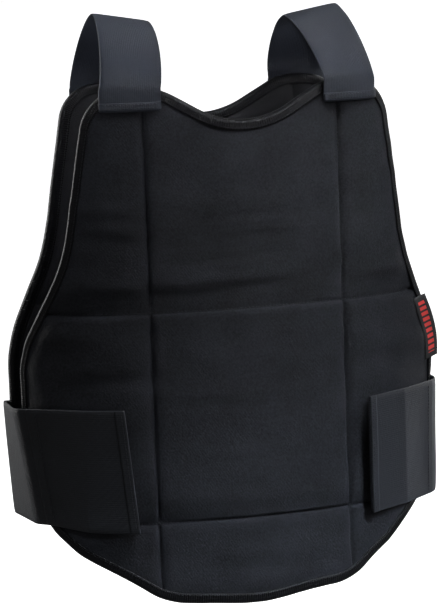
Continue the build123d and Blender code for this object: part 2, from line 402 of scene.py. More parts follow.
def smooth_noise(s, z, width, height, seed):
    """Smooth random relief between -1 and 1, with hills about `width` by `height`."""
    rng = np.random.default_rng(seed)
    grid = rng.uniform(-1, 1, (160, 160))
    u, v = s / width + 60, z / height + 90
    i, j = np.floor(u).astype(int), np.floor(v).astype(int)
    fu, fv = u - i, v - j
    fu, fv = fu * fu * (3 - 2 * fu), fv * fv * (3 - 2 * fv)
    corner = [grid[(i + a) % 160, (j + b) % 160] for a in (0, 1) for b in (0, 1)]
    low = corner[0] * (1 - fv) + corner[1] * fv
    high = corner[2] * (1 - fv) + corner[3] * fv
    return low * (1 - fu) + high * fu


def seam_gaps(panel, s, z):
    """Distance to the nearest upright seam, and signed distances above the two level seams."""
    upright = np.abs(np.abs(s) - arc_of_x(panel, SEAM_X))
    return upright, z - CHEST_SEAM_Z, z - HIP_SEAM_Z


def held_flat(panel, s, z):
    """1 where a belt, a strap or its tape presses on the outer cloth, fading to 0 round it."""
    s = np.abs(s)
    if panel is FRONT:
        tape_end = arc_at_turn(FRONT, BELT_TIP_TURN) - 0.012
        middle = BELT_TOP_Z - BELT_HEIGHT / 2
        beyond = np.maximum(tape_end - s, np.abs(z - middle) - BELT_HEIGHT / 2 - HELD_MARGIN)
    else:
        low, high = arc_of_x(BACK, np.array(STRAP_BACK_X))
        beyond = np.maximum(low - s, s - high) - 0.002
        beyond = np.maximum(beyond, STRAP_TAB_BOTTOM_Z - HELD_MARGIN - z)
    return 1 - swell(beyond, 0.010, 2.0)


def seam_relief(panel, s, z, upright, chest, hip):
    """Depth of the cloth beside its seams, before the stitches' own groove."""
    wander = 0.002 * smooth_noise(s, z, 0.060, 1.0, panel["seed"] + 9)
    uneven = 0.75 + 0.25 * smooth_noise(s, z, 0.035, 1.0, panel["seed"] + 12)
    depth = UPRIGHT_DIP * (1 - swell(upright, 0.0085)) + 0.0010 * (1 - swell(upright, 0.034, 2.0))
    # Above each level seam the cloth slopes in from a fold a finger's width higher up.
    # Below it, it rolls out again at once.
    for gap, (reach, drop, ridge) in ((chest, CHEST_FOLD), (hip, HIP_FOLD)):
        crest_at = reach + wander
        above = drop * np.clip(1 - gap / crest_at, 0, 1)
        below = drop * (1 - swell(-gap, 0.0080, 2.4))
        crease = np.where(gap > 0, above, below)
        depth = np.maximum(depth, crease) + 0.25 * np.minimum(depth, crease)
        crest = hill(gap - crest_at, np.where(gap < crest_at, 0.008, 0.014))
        depth -= ridge * crest * (gap > 0) * uneven
        depth -= 0.0007 * hill(gap + 0.0085, 0.0045)
    return depth


def quilt_depth(panel, s, z, edge):
    """Depth of the outer cloth below the panel's face: flat cells, pulled down along every seam."""
    seed = panel["seed"]
    upright, chest, hip = seam_gaps(panel, s, z)
    level = np.minimum(np.abs(chest), np.abs(hip))
    depth = seam_relief(panel, s, z, upright, chest, hip)
    # Broad unevenness, level drag lines and a fine ripple.
    depth += 0.0005 + 0.0007 * smooth_noise(s, z, 0.060, 0.050, seed)
    drag = smooth_noise(s, z, 0.085, 0.014, seed + 1) * (0.5 + 0.5 * smooth_noise(s, z, 0.08, 0.06, seed + 8))
    inner = swell(edge, 0.03)
    depth += DRAG_DEPTH * drag * inner
    depth += 0.00025 * smooth_noise(s, z, 0.018, 0.009, seed + 7)
    # Each crease is a ridge with a hollow under it.
    waver = 0.002 * smooth_noise(s, z, 0.025, 1.0, seed + 14)
    for height, across, width, rise, tilt in panel["creases"]:
        above = z - height - tilt * (s - across) - waver
        fold = hill(above, 0.0042) - 0.8 * hill(above + 0.0075, 0.0045)
        depth -= rise * fold * hill(s - across, width, 4) * inner
    # The chest fold breaks where an upright seam crosses it.
    crossing = hill(upright, 0.009) * hill(chest - 0.022, 0.009)
    depth += 0.0020 * crossing
    rim = swell(edge - BINDING_WIDTH, 0.013, 2.0)
    depth = depth * (0.15 + 0.85 * rim) + EDGE_SINK * (1 - rim)
    groove = hill(upright, GROOVE_WIDTH) + hill(level, GROOVE_WIDTH)
    depth += GROOVE_DEPTH * np.clip(groove, 0, 1)
    # Short puckers beside the seams and the binding.
    past_tape = np.clip(edge - BINDING_WIDTH, 0, 1)
    pucker = smooth_noise(s, z, 0.010, 0.030, seed + 2) * hill(level, 0.009, 1)
    pucker += smooth_noise(s, z, 0.030, 0.011, seed + 3) * hill(upright, 0.008, 1)
    pucker += 1.2 * smooth_noise(s, z, 0.012, 0.012, seed + 4) * hill(past_tape, 0.007, 1)
    depth += PUCKER_DEPTH * pucker
    depth += held_flat(panel, s, z) * np.clip(HELD_DEPTH - depth, 0, None)
    under_tape = edge < BINDING_WIDTH + 0.001
    return np.clip(depth, np.where(under_tape, EDGE_SINK - 0.0003, HIGHEST_DEPTH), DEEPEST_DEPTH)


def lining_depth(panel, s, z, edge):
    """Depth of the lining above the torso-side face, pulled in at the same seams."""
    seed = panel["seed"] + 20
    upright, chest, hip = seam_gaps(panel, s, z)
    level = np.minimum(np.abs(chest), np.abs(hip))
    rise = swell(upright, 0.016) * swell(level, 0.016)
    rim = swell(edge - BINDING_WIDTH, 0.014)
    depth = 0.0024 * (1 - rise) + EDGE_SINK * (1 - rim)
    depth += 0.0005 * smooth_noise(s, z, 0.045, 0.040, seed)
    seam = np.minimum(upright, level)
    depth += 0.0004 * smooth_noise(s, z, 0.014, 0.014, seed + 1) * hill(seam, 0.010, 1)
    return np.clip(depth, 0.0001, EDGE_SINK + 0.0018)


# ---------- materials

def add_node(tree, kind, **settings):
    node = tree.nodes.new(kind)
    for key, value in settings.items():
        setattr(node, key, value)
    return node


def math_node(tree, operation, a, b=None):
    node = add_node(tree, "ShaderNodeMath", operation=operation)
    for socket, value in zip(node.inputs, (a, b)):
        if value is None:
            continue
        if isinstance(value, (int, float)):
            socket.default_value = value
        else:
            tree.links.new(value, socket)
    return node.outputs[0]


def wave(tree, coordinate, pitch):
    return math_node(tree, "SINE", math_node(tree, "MULTIPLY", coordinate, 2 * math.pi / pitch))


def set_inputs(node, values):
    for name, value in values.items():
        node.inputs[name].default_value = value


def new_material(name, values):
    material = bpy.data.materials.new(name)
    material.use_nodes = True
    shader = material.node_tree.nodes["Principled BSDF"]
    set_inputs(shader, values)
    return material, material.node_tree, shader


def flat_axes(tree):
    """Flat cloth coordinates, across and along."""
    flat = add_node(tree, "ShaderNodeUVMap", uv_map="flat")
    split = add_node(tree, "ShaderNodeSeparateXYZ")
    tree.links.new(flat.outputs[0], split.inputs[0])
    return split.outputs[0], split.outputs[1]


def texture(tree, kind, **values):
    """A texture in the object's own coordinates."""
    node = add_node(tree, kind)
    set_inputs(node, values)
    place_in = add_node(tree, "ShaderNodeTexCoord")
    tree.links.new(place_in.outputs["Object"], node.inputs["Vector"])
    return node.outputs[0]


def colour_and_bump(tree, shader, share, dark, light, height, strength, distance):
    """Colour mixed from dark to light by `share`, and relief from `height`."""
    mix = add_node(tree, "ShaderNodeMix", data_type="RGBA")
    set_inputs(mix, {6: (*dark, 1), 7: (*light, 1)})
    tree.links.new(share, mix.inputs[0])
    tree.links.new(mix.outputs[2], shader.inputs["Base Color"])
    bumped = add_node(tree, "ShaderNodeBump")
    set_inputs(bumped, {"Strength": strength, "Distance": distance})
    tree.links.new(height, bumped.inputs["Height"])
    tree.links.new(bumped.outputs[0], shader.inputs["Normal"])


def woven(name, dark, light, pitch, roughness, bump, ribbed=False, sheen=0.02, specular=0.10):
    """Woven material: thread relief from the flat cloth coordinates, and soft colour variation."""
    gloss = {"Roughness": roughness, "Specular IOR Level": specular}
    fuzz = {"Sheen Weight": sheen, "Sheen Roughness": 0.45, "Sheen Tint": (0.75, 0.82, 1.0, 1.0)}
    material, tree, shader = new_material(name, gloss | fuzz)
    across, along = flat_axes(tree)
    wave_u, wave_v = wave(tree, across, pitch[0]), wave(tree, along, pitch[1])
    if ribbed:
        relief = math_node(tree, "ADD", wave_v, math_node(tree, "MULTIPLY", wave_u, 0.35))
    else:
        relief = math_node(tree, "MULTIPLY", wave_u, wave_v)
    fibres = texture(tree, "ShaderNodeTexNoise", Scale=520.0, Detail=3.0)
    patchy = texture(tree, "ShaderNodeTexNoise", Scale=30.0, Detail=4.0)
    grain = math_node(tree, "MULTIPLY", math_node(tree, "SUBTRACT", fibres, 0.5), 2.4)
    shade = math_node(tree, "ADD", math_node(tree, "MULTIPLY", grain, 0.70), patchy)
    height = math_node(tree, "ADD", relief, grain)
    colour_and_bump(tree, shader, shade, dark, light, height, bump, 0.0004)
    return material


def label_material():
    """Black woven label with plain red bars across it."""
    material, tree, shader = new_material("woven_label", {"Roughness": 0.6})
    bars, bar_share, half_width, half_length = 11.0, 0.62, 0.27, 0.42
    across, along = flat_axes(tree)
    centred = math_node(tree, "ABSOLUTE", math_node(tree, "SUBTRACT", across, 0.5))
    in_width = math_node(tree, "LESS_THAN", centred, half_width)
    off_middle = math_node(tree, "ABSOLUTE", math_node(tree, "SUBTRACT", along, 0.5))
    in_length = math_node(tree, "LESS_THAN", off_middle, half_length)
    phase = math_node(tree, "FRACT", math_node(tree, "MULTIPLY", along, bars))
    bar = math_node(tree, "LESS_THAN", phase, bar_share)
    mask = math_node(tree, "MULTIPLY", math_node(tree, "MULTIPLY", in_width, in_length), bar)
    weave = texture(tree, "ShaderNodeTexNoise", Scale=2500.0)
    colour_and_bump(tree, shader, mask, (0.008, 0.008, 0.009), (0.55, 0.035, 0.03), weave, 0.4, 0.0002)
    return material


def pile_material(name, scale, light, brushed):
    """Loop tape as a brushed pile, or hook tape as rows of tiny dots."""
    roughness, sheen = (0.8, 0.03) if brushed else (0.45, 0.0)
    gloss = {"Roughness": roughness, "Specular IOR Level": 0.15, "Sheen Weight": sheen}
    material, tree, shader = new_material(name, gloss)
    if brushed:
        relief = texture(tree, "ShaderNodeTexNoise", Scale=scale, Detail=5.0)
    else:
        dots = texture(tree, "ShaderNodeTexVoronoi", Scale=scale, Randomness=0.15)
        relief = math_node(tree, "SUBTRACT", 0.6, dots)
    colour_and_bump(tree, shader, relief, (0.003, 0.003, 0.004), light, relief, 0.8, 0.0008)
    return material


THREAD = woven("black_thread", (0.004, 0.004, 0.005), (0.008, 0.008, 0.010),
               (0.002, 0.002), 0.5, 0.1, specular=0.2)
MATERIALS = {
    "panel_cloth": woven("oxford_cloth", (0.0018, 0.0019, 0.0025), (0.0165, 0.0174, 0.0215),
        (0.0012, 0.0012), 0.60, 0.9),
    "lining_cloth": woven("lining_cloth", (0.006, 0.006, 0.007), (0.011, 0.011, 0.013),
        (0.0008, 0.0008), 0.55, 0.3),
    "foam": woven("closed_cell_foam", (0.03, 0.03, 0.033), (0.05, 0.05, 0.055),
        (0.004, 0.004), 0.9, 0.2, sheen=0.0),
    "binding_tape": woven("grosgrain_tape", (0.0011, 0.0011, 0.0014), (0.0036, 0.0036, 0.0044),
        (0.0045, 0.0020), 0.36, 0.35, ribbed=True, sheen=0.0),
    "shoulder_elastic": woven("shoulder_elastic", (0.0044, 0.0057, 0.0093), (0.0094, 0.0118, 0.0180),
        (0.0016, 0.0009), 0.5, 0.4, ribbed=True, sheen=0.04, specular=0.18),
    "waist_elastic": woven("waist_elastic", (0.0040, 0.0043, 0.0052), (0.0088, 0.0094, 0.0114),
        (0.0018, 0.0010), 0.5, 0.4, ribbed=True, sheen=0.05, specular=0.15),
    "label": label_material(),
    "loop_pile": pile_material("loop_pile", 1400.0, (0.014, 0.014, 0.016), True),
    "hook_tape": pile_material("hook_dots", 700.0, (0.020, 0.020, 0.022), False),
}


# ---------- meshes

def enclosed_volume(verts, faces):
    """Six times the signed volume inside a closed mesh: negative when its faces look inward."""
    triangles = np.array([(f[0], f[k], f[k + 1]) for f in faces for k in range(1, len(f) - 1)])
    a, b, c = (verts[triangles[:, k]] for k in range(3))
    return float(np.einsum("ij,ij->i", a, np.cross(b, c)).sum())


def add_object(name, data):
    obj = bpy.data.objects.new(name, data)
    bpy.context.scene.collection.objects.link(obj)
    return obj


def make_object(name, verts, faces, uv, body, slot, material=None):
    """A smooth-shaded mesh whose faces look outward, in its slot's material unless one is given.
    It rides on a body if one is given."""
    verts = np.asarray(verts)
    if enclosed_volume(verts - verts.mean(0), faces) < 0:
        faces = [f[::-1] for f in faces]
    mesh = bpy.data.meshes.new(name)
    mesh.from_pydata(verts.tolist(), [], [list(map(int, f)) for f in faces])
    layer = mesh.uv_layers.new(name="flat")
    index = np.empty(len(mesh.loops), int)
    mesh.loops.foreach_get("vertex_index", index)
    layer.data.foreach_set("uv", np.asarray(uv, float)[index].ravel())
    mesh.polygons.foreach_set("use_smooth", [True] * len(mesh.polygons))
    mesh.materials.append(material or MATERIALS[slot])
    mesh.update()
    obj = add_object(name, mesh)
    if body:
        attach(obj, body)
    return obj


def triangulate(panel, loop):
    """Flat triangle mesh inside a loop, with its grid lines on the seams."""
    seam_s = float(arc_of_x(panel, SEAM_X))
    low, high = loop.min(0), loop.max(0)
    across = graded_line(low[0], high[0], [-seam_s, seam_s])
    up = graded_line(low[1], high[1], [HIP_SEAM_Z, CHEST_SEAM_Z])
    grid = np.stack(np.meshgrid(across, up, indexing="ij"), -1).reshape(-1, 2)
    grid = grid[inside_loop(grid, loop)]
    grid = grid[edge_distance(grid, loop) > 0.0009]
    points = np.vstack([loop, grid])
    rim = list(range(len(loop)))
    made = delaunay_2d_cdt([Vector(p) for p in points], [], [rim], 1, 1e-7)
    return np.array([tuple(v) for v in made[0]]), np.array(made[2])


def rim_edges(triangles):
    """Edges that only one triangle uses, in that triangle's direction."""
    edges = np.vstack([triangles[:, [0, 1]], triangles[:, [1, 2]], triangles[:, [2, 0]]])
    key = np.sort(edges, axis=1)
    _, index, count = np.unique(key, axis=0, return_index=True, return_counts=True)
    return edges[index[count == 1]]


def closed_slab(outer, inner, triangles):
    """Two faces of the same triangles joined round their rim."""
    count = len(outer)
    rim = rim_edges(triangles)
    faces = [tuple(t[::-1]) for t in triangles] + [tuple(t + count) for t in triangles]
    faces += [(a, b, b + count, a + count) for a, b in rim]
    return np.vstack([outer, inner]), faces


def make_cloth(panel, outline, name, node, slot, torso_side):
    """The woven cover of one face of a panel, a closed skin that runs in under the binding."""
    cut_in = 0.0022
    loop = outline + inward_normals(outline) * cut_in
    flat, triangles = triangulate(panel, loop)
    s, z = flat[:, 0], flat[:, 1]
    edge = edge_distance(flat, outline)
    if torso_side:
        outer_depth = PAD_THICK - lining_depth(panel, s, z, edge)
        inner_depth = outer_depth - CLOTH_THICK
    else:
        outer_depth = quilt_depth(panel, s, z, edge)
        inner_depth = outer_depth + CLOTH_THICK
    verts, faces = closed_slab(place(panel, s, z, outer_depth), place(panel, s, z, inner_depth), triangles)
    obj = make_object(name, verts, faces, np.vstack([flat, flat]), panel["body"], slot)
    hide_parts(node)


def make_foam(panel, outline):
    """Nine foam pads that fill the quilted cells between cover and lining."""
    cut_in, under_cloth = 0.0105, 0.0011
    loop = resample(outline + inward_normals(outline) * cut_in, 0.0035)
    flat, triangles = triangulate(panel, loop)
    s, z = flat[:, 0], flat[:, 1]
    edge = edge_distance(flat, outline)
    outer = place(panel, s, z, quilt_depth(panel, s, z, edge) + under_cloth)
    inner = place(panel, s, z, PAD_THICK - lining_depth(panel, s, z, edge) - under_cloth)
    seam_s = float(arc_of_x(panel, SEAM_X))
    middle = flat[triangles].mean(1)
    columns = {"right": (-1, -seam_s), "centre": (-seam_s, seam_s), "left": (seam_s, 1)}
    rows = {"chest": (CHEST_SEAM_Z, 1), "belly": (HIP_SEAM_Z, CHEST_SEAM_Z), "hip": (-1, HIP_SEAM_Z)}
    gap = 0.0008
    for row, (low, high) in rows.items():
        for column, (left, right) in columns.items():
            keep = (middle[:, 0] > left + gap) & (middle[:, 0] < right - gap)
            keep &= (middle[:, 1] > low + gap) & (middle[:, 1] < high - gap)
            used, local = np.unique(triangles[keep], return_inverse=True)
            cell = local.reshape(-1, 3)
            node = "_".join((panel["name"], "foam", row, column))
            verts, faces = closed_slab(outer[used], inner[used], cell)
            uv = np.vstack([flat[used], flat[used]])
            pad = make_object(node + "_pad", verts, faces, uv, panel["body"], "foam")
            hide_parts(node)


def tape_section():
    """Middle line of the binding tape across the edge, as (distance in from the edge, depth)."""
    middle, half, nose = PAD_THICK / 2, PAD_THICK / 2 - EDGE_SINK + TAPE_THICK / 2, 0.0034
    angles = np.radians(np.linspace(90, -90, 13))
    bend = [(nose * (1 - math.cos(a)) + 0.0003, middle - half * math.sin(a)) for a in angles]
    flange = [BINDING_WIDTH, 0.0075, 0.0060, 0.0046]
    top = [(q, middle - half) for q in flange]
    bottom = [(q, middle + half) for q in reversed(flange)]
    return np.array(top + bend + bottom)


def tube_faces(rings, size, closed):
    """Faces that join rings of points into a tube, and the last ring to the first if it is closed."""
    faces = []
    for i in range(rings if closed else rings - 1):
        ahead = (i + 1) % rings * size - i * size
        for j in range(size):
            a, b = i * size + j, i * size + (j + 1) % size
            faces.append((a, b, b + ahead, a + ahead))
    return faces


def make_binding(panel, outline):
    """Ribbed tape folded round the panel's whole edge."""
    normals = inward_normals(outline)
    line = tape_section()
    ahead = np.gradient(line, axis=0)
    ahead /= np.linalg.norm(ahead, axis=1)[:, None]
    across = np.stack([ahead[:, 1], -ahead[:, 0]], -1) * TAPE_THICK / 2
    section = np.vstack([line + across, (line - across)[::-1]])
    width = lengths(line)
    section_u = np.concatenate([width, width[::-1]])
    length = lengths(outline)
    wander = smooth_noise(length, length * 0, 0.013, 1.0, panel["seed"] + 5)
    count, ring = len(outline), len(section)
    q = section[None, :, 0] + 0.00022 * wander[:, None]
    depth = section[None, :, 1] + 0.00012 * wander[:, None]
    flat = outline[:, None, :] + normals[:, None, :] * q[:, :, None]
    verts = place(panel, flat[..., 0], flat[..., 1], depth + np.zeros_like(q)).reshape(-1, 3)
    uv = np.stack([np.tile(section_u, count), np.repeat(length, ring)], -1)
    name, faces = panel["name"] + "_edge_tape", tube_faces(count, ring, True)
    obj = make_object(name, verts, faces, uv, panel["body"], "binding_tape")
    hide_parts(panel["name"] + "_binding")


def stitch_mesh(centres, along, outward, length=0.0024, radius=0.00028):
    """Short raised threads, one at each centre."""
    sides = 6
    side = np.cross(along, outward)
    verts, faces = [], []
    for c, a, n, w in zip(centres, along, outward, side):
        base = len(verts)
        verts.append(c - a * length / 2 - n * radius * 0.6)
        for shift, size in ((-0.30, 0.9), (0.30, 0.9)):
            for j in range(sides):
                angle = 2 * math.pi * j / sides
                around = n * math.cos(angle) + w * math.sin(angle)
                verts.append(c + a * length * shift + around * radius * size)
        verts.append(c + a * length / 2 - n * radius * 0.6)
        for j in range(sides):
            k1, k2 = base + 1 + j, base + 1 + (j + 1) % sides
            faces.append((base, k2, k1))
            faces.append((k1, k2, k2 + sides, k1 + sides))
            faces.append((base + 1 + 2 * sides, k1 + sides, k2 + sides))
    return verts, faces


def sew(name, lines, body, slot, pitch=0.0031):
    """Lines of stitching. Each line is points in space with the outward direction at each."""
    near = 0.0008
    verts, faces = [], []
    for points, outward in lines:
        length = lengths(points)
        wanted = np.arange(pitch / 2, length[-1], pitch)
        centre = along_line(wanted, length, points)
        ahead = along_line(wanted + near, length, points) - centre
        behind = centre - along_line(wanted - near, length, points)
        along = ahead + behind
        along /= np.linalg.norm(along, axis=1)[:, None]
        out = along_line(wanted, length, outward)
        out /= np.linalg.norm(out, axis=1)[:, None]
        v, f = stitch_mesh(centre, along, out)
        base = len(verts)
        verts.extend(v)
        faces.extend(tuple(i + base for i in face) for face in f)
    make_object(name, verts, faces, np.zeros((len(verts), 2)), body, slot, THREAD)


def panel_line(panel, s, z, depth, out):
    """A sewn line on a panel: its points, and the way out of the face that it is sewn on."""
    points = place(panel, s, z, depth)
    return points, (points - place(panel, s, z, depth + 0.001)) * out


def make_stitching(panel, outline):
    """Thread along the quilting seams and the binding, on both faces of the panel."""
    seam_s = float(arc_of_x(panel, SEAM_X))
    proud, from_edge = 0.00015, 0.0074
    up, across = np.arange(-0.50, -0.060, 0.0015), np.arange(-0.215, 0.215, 0.0015)
    lines = [(np.full_like(up, s), up) for s in (-seam_s, seam_s)]
    lines += [(across, np.full_like(across, z)) for z in (CHEST_SEAM_Z, HIP_SEAM_Z)]
    quilting = []
    for s, z in lines:
        points = np.stack([s, z], -1)
        edge = edge_distance(points, outline)
        keep = inside_loop(points, outline) & (edge > BINDING_WIDTH + 0.0005)
        s, z, edge = s[keep], z[keep], edge[keep]
        outer = quilt_depth(panel, s, z, edge) - proud
        inner = PAD_THICK - lining_depth(panel, s, z, edge) + proud
        quilting += [panel_line(panel, s, z, outer, 1), panel_line(panel, s, z, inner, -1)]
    sew(panel["name"] + "_quilting_thread", quilting, panel["body"], "panel_cloth")
    row = resample(outline, 0.0015)
    s, z = (row + inward_normals(row) * from_edge).T
    outer = PAD_THICK / 2 - (PAD_THICK / 2 - EDGE_SINK + TAPE_THICK) - proud
    binding = [panel_line(panel, s, z, outer, 1), panel_line(panel, s, z, PAD_THICK - outer, -1)]
    sew(panel["name"] + "_binding_thread", binding, panel["body"], "binding_tape")


# ---------- straps and belts

def grid_normals(grid):
    along = np.gradient(grid, axis=0)
    across = np.gradient(grid, axis=1)
    normal = np.cross(along, across)
    return normal / np.linalg.norm(normal, axis=2)[:, :, None]


def strip(name, grid, thick, u, body, slot, v=None):
    """A flat woven strip of even thickness with rounded selvedges. Its first axis runs lengthwise,
    and `u` and `v` are its flat coordinates across and along."""
    v = lengths(grid[:, 0]) if v is None else v
    rows, columns = grid.shape[:2]
    normal = grid_normals(grid)
    gap = np.minimum(np.arange(columns), np.arange(columns)[::-1])
    half = thick / 2 * np.where(gap == 0, 0.55, np.where(gap == 1, 0.9, 1.0))
    top = grid + normal * half[None, :, None]
    bottom = grid - normal * half[None, :, None]
    out_left = grid[:, :1] + (grid[:, :1] - grid[:, 1:2]) * 0.25
    out_right = grid[:, -1:] + (grid[:, -1:] - grid[:, -2:-1]) * 0.25
    ring = np.concatenate([top, out_right, bottom[:, ::-1], out_left], axis=1)
    size = ring.shape[1]
    faces = tube_faces(rows, size, False)
    faces.append(tuple(range(size))[::-1])
    faces.append(tuple((rows - 1) * size + j for j in range(size)))
    ring_u = np.concatenate([u, [u[-1]], u[::-1], [u[0]]])
    uv = np.stack([np.tile(ring_u, rows), np.repeat(v, size)], -1)
    return make_object(name, ring.reshape(-1, 3), faces, uv, body, slot)


def between(ends, share):
    return ends[0] + (ends[1] - ends[0]) * share


def mirrored(grid, sign):
    return grid * np.array([sign, 1, 1])


def strap_grid(share):
    """Middle surface of the left strap: up the front panel, over the shoulder, down to the back."""
    foot = np.linspace(STRAP_HEM_Z, STRAP_SPRING_Z, 10, endpoint=False)[:, None]
    front_x, back_x = between(STRAP_FRONT_X, share), between(STRAP_BACK_X, share)
    top_x = between(STRAP_TOP_X, share)
    rise = between(STRAP_RISE, share)
    front_s, back_s = arc_of_x(FRONT, front_x), arc_of_x(BACK, back_x)
    off_panel = 0.0017
    lift_off = off_panel * (foot - STRAP_HEM_Z) / (STRAP_SPRING_Z - STRAP_HEM_Z)
    front = place(FRONT, front_s, foot, STRAP_FRONT_DEPTH - lift_off)
    front_y = place(FRONT, front_s, STRAP_SPRING_Z, STRAP_FRONT_DEPTH - off_panel)[..., 1]
    back_y = place(BACK, back_s, STRAP_SPRING_Z, STRAP_BACK_DEPTH)[..., 1]
    angle = np.radians(np.linspace(0, 180, 73))[:, None]
    reach = np.sign(np.cos(angle)) * np.abs(np.cos(angle)) ** STRAP_ARCH_POWER
    lift = np.sin(angle).clip(0, 1) ** STRAP_ARCH_POWER
    middle_y = (front_y + back_y) / 2
    x = np.where(angle <= math.pi / 2, front_x, back_x)
    x = x + (top_x - x) * lift
    y = middle_y - (back_y - front_y) / 2 * reach
    arch = np.stack([x, y, STRAP_SPRING_Z + rise * lift], -1)
    tail = np.linspace(STRAP_SPRING_Z, STRAP_TAB_TOP_Z - 0.004, 7)[1:, None]
    back = place(BACK, back_s, tail, STRAP_BACK_DEPTH)
    return np.concatenate([front, arch, back], axis=0)


def smooth_rows(grid, passes):
    """Softens the corners of a strip lengthwise, leaving its two ends where they are."""
    for _ in range(passes):
        grid[1:-1] = (grid[:-2] + 2 * grid[1:-1] + grid[2:]) / 4
    return grid


def make_strap(side, sign):
    """A shoulder strap, with its hem on the front panel and its loose end on the back panel."""
    share = np.linspace(0, 1, STRAP_COLUMNS)[None, :]
    u = np.linspace(0, STRAP_WIDTH, STRAP_COLUMNS)
    grid = smooth_rows(strap_grid(share), 3)
    v = lengths(grid[:, STRAP_COLUMNS // 2])
    ripple = smooth_noise(v[:, None], u[None, :], 0.020, 0.030, 5 + sign)
    grid = mirrored(grid + grid_normals(grid) * (0.00035 * ripple)[..., None], sign)
    obj = strip(side + "_shoulder_strap", grid, STRAP_THICK, u, None, "shoulder_elastic", v)
    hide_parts(side + "_strap_front", side + "_strap_rear")
    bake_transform(obj)
    make_strap_hem(side, sign, share, u)
    make_strap_end(side, sign, share, u)


def make_strap_hem(side, sign, share, u):
    """The strap's end, folded forward on itself and sewn down across the panel's edge."""
    height, below = 0.0065, 0.0006
    z = np.linspace(STRAP_HEM_Z - below, STRAP_HEM_Z + height, 9)[:, None]
    s = arc_of_x(FRONT, between(STRAP_FRONT_X, share))
    fold = np.sqrt(np.clip((z - STRAP_HEM_Z + below) / 0.0016, 0, 1))
    grid = mirrored(place(FRONT, s, z, STRAP_FRONT_DEPTH - 0.0002 - 0.0016 * fold), sign)
    hem = strip(side + "_strap_fold", grid, 0.0016, u, "front_panel", "shoulder_elastic")
    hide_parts(side + "_strap_front_hem")
    row_s = np.linspace(s[0, 0] + 0.002, s[0, -1] - 0.002, 40)
    lines = []
    for up in (0.0018, 0.0050):
        points = place(FRONT, row_s, STRAP_HEM_Z + up, STRAP_FRONT_DEPTH - 0.0028)
        outward = points - place(FRONT, row_s, STRAP_HEM_Z + up, 0.0)
        lines.append((mirrored(points, sign), mirrored(outward, sign)))
    sew(side + "_strap_fold_thread", lines, "front_panel", "shoulder_elastic")


def make_strap_end(side, sign, share, u):
    """Adjustable end of the strap, lying on the back panel."""
    z = np.linspace(STRAP_TAB_TOP_Z + 0.0035, STRAP_TAB_BOTTOM_Z, 42)[:, None]
    s = arc_of_x(BACK, between(STRAP_BACK_X, share))
    # Its top lies over the strap, and the rest lies on the panel.
    over = STRAP_THICK * np.clip((z - STRAP_TAB_TOP_Z + 0.0065) / 0.0040, 0, 1)
    grid = mirrored(place(BACK, s, z, STRAP_BACK_DEPTH - over), sign)
    obj = strip(side + "_strap_back_end", grid, STRAP_THICK, u, None, "shoulder_elastic")
    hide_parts(side + "_strap_tab")
    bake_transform(obj)


def belt_tip_s(shape, down):
    """Arc length of a belt's tip at a share `down` of the belt's height."""
    return arc_at_turn(FRONT, BELT_TIP_TURN) + shape["cut"] * (1 - down) + shape["reach"]


def belt_row(shape, down):
    """Plan line of the left belt at a share `down` of its height, from its sewn end to its tip."""
    back = place(BACK, arc_of_x(BACK, np.array([BELT_SEWN_X, PLAN_HALF_WIDTH])), 0.0, BELT_DEPTH)
    lean = shape["lean"] * down
    leave_s = arc_at_turn(FRONT, BELT_LEAVE_TURN)
    z = BELT_TOP_Z - BELT_HEIGHT * down
    leave = place(FRONT, leave_s, z, BELT_FRONT_DEPTH)
    points = [
        (BELT_SEWN_X, back[0, 1] + 0.0006),
        (BELT_BACK_CORNER[0] - lean * 0.3, back[1, 1] - 0.0010, BELT_BACK_CORNER[1]),
        (BELT_CORNER[0] + shape["out"] - lean, BELT_CORNER[1], shape["radius"]),
        (leave[0], leave[1]),
    ]
    share = np.linspace(0, 1, 25)[1:]
    s = np.linspace(leave_s, belt_tip_s(shape, down), 25)[1:]
    lying = place(FRONT, s, z, BELT_FRONT_DEPTH - shape["proud"] * share ** 2)[:, :2]
    return np.vstack([fillet_line(points), lying])


def belt_grid(shape):
    """The whole left belt: lengthwise from the back to the tip, and across from top to bottom."""
    down = np.linspace(0, 1, BELT_COLUMNS)
    grid = np.zeros((BELT_ROWS, BELT_COLUMNS, 3))
    along = np.linspace(0, 1, BELT_ROWS)
    rise = shape["rise"] * swell(along - 0.15, 0.35)
    lift = shape["lift"] * swell(along, 0.3) * (1 - swell(along - 0.60, 0.35))
    for k in range(BELT_COLUMNS):
        grid[:, k, :2] = resample_open(belt_row(shape, down[k]), BELT_ROWS)
        grid[:, k, 2] = BELT_TOP_Z - BELT_HEIGHT * down[k] + rise * (1 - down[k]) + lift * down[k]
    return grid


